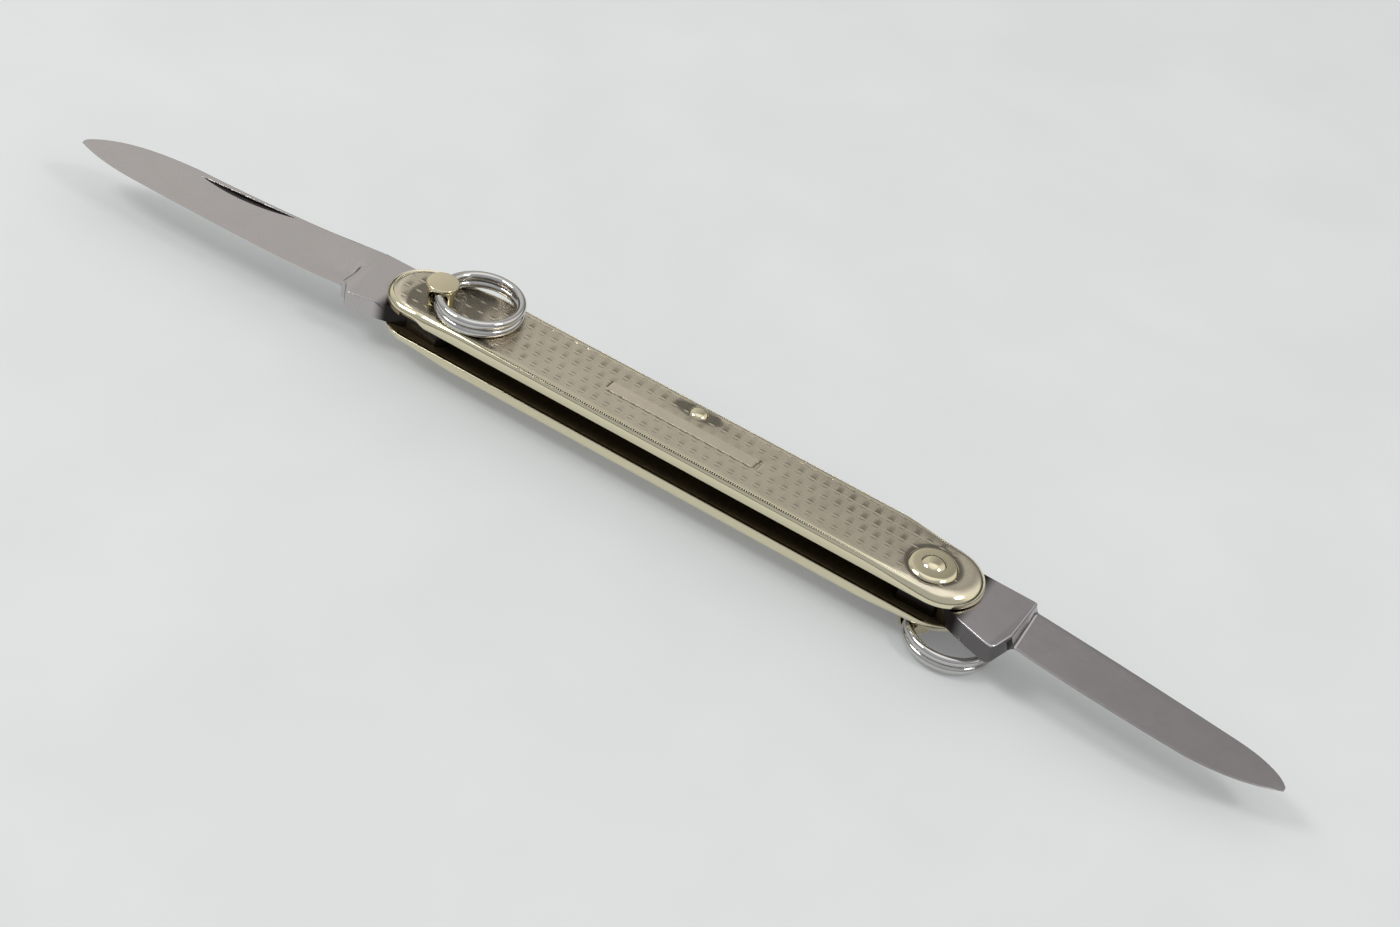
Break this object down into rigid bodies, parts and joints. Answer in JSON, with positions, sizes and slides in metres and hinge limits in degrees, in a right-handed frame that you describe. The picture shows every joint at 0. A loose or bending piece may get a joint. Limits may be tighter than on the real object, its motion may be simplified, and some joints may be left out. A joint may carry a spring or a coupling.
{
  "type": "pen knife",
  "caption": "Slim metal-covered pocket pen knife with a folding blade at each end, both opened, and a split ring hung from a pierced bail at each pivot.",
  "frame": {"origin": "centre of the opened knife's bounding box, on the handle's middle plane", "axes": "+X along the handle towards the pen blade, +Y towards the back spring, +Z out of the cover that carries the master blade's bail"},
  "size_m": [0.1292, 0.0102, 0.0088],
  "materials": {
    "cover_gold": "pale gold, engine-turned, with polished rims",
    "liner_brass": "dark tarnished",
    "spring_steel": "dark satin",
    "pin_gold": "polished pale gold",
    "blade_steel": "fine satin",
    "ring_nickel": "polished"
  },
  "bodies": {
    "handle": {"front_scale": "cover_gold", "rear_scale": "cover_gold", "front_liner": "liner_brass", "rear_liner": "liner_brass", "back_spring": "spring_steel", "spring_rivet": "pin_gold", "master_bail_pin": "pin_gold", "pen_bail_pin": "pin_gold", "master_washer": "pin_gold", "pen_washer": "pin_gold"},
    "master_blade": {"master_blade": "blade_steel"},
    "pen_blade": {"pen_blade": "blade_steel"},
    "master_ring": {"master_ring": "ring_nickel"},
    "pen_ring": {"pen_ring": "ring_nickel"}
  },
  "joints": [
    {"name": "master_blade_fold", "type": "hinge", "parent": "handle", "child": "master_blade", "pos_m": [-0.02325, -0.0007, 0], "axis": [0, 0, 1], "range_deg": [0, 175], "deforming": ["back_spring"]},
    {"name": "pen_blade_fold", "type": "hinge", "parent": "handle", "child": "pen_blade", "pos_m": [0.02975, -0.0007, 0], "axis": [0, 0, -1], "range_deg": [0, 178], "deforming": ["back_spring"]},
    {"name": "master_ring_swing", "type": "hinge", "parent": "handle", "child": "master_ring", "pos_m": [-0.02325, -0.0007, 0.00327], "axis": [0.2924, -0.9563, 0], "range_deg": [0, 180]},
    {"name": "pen_ring_swing", "type": "hinge", "parent": "handle", "child": "pen_ring", "pos_m": [0.02975, -0.0007, -0.00327], "axis": [0.1392, 0.9903, 0], "range_deg": [0, 180]}
  ]
}
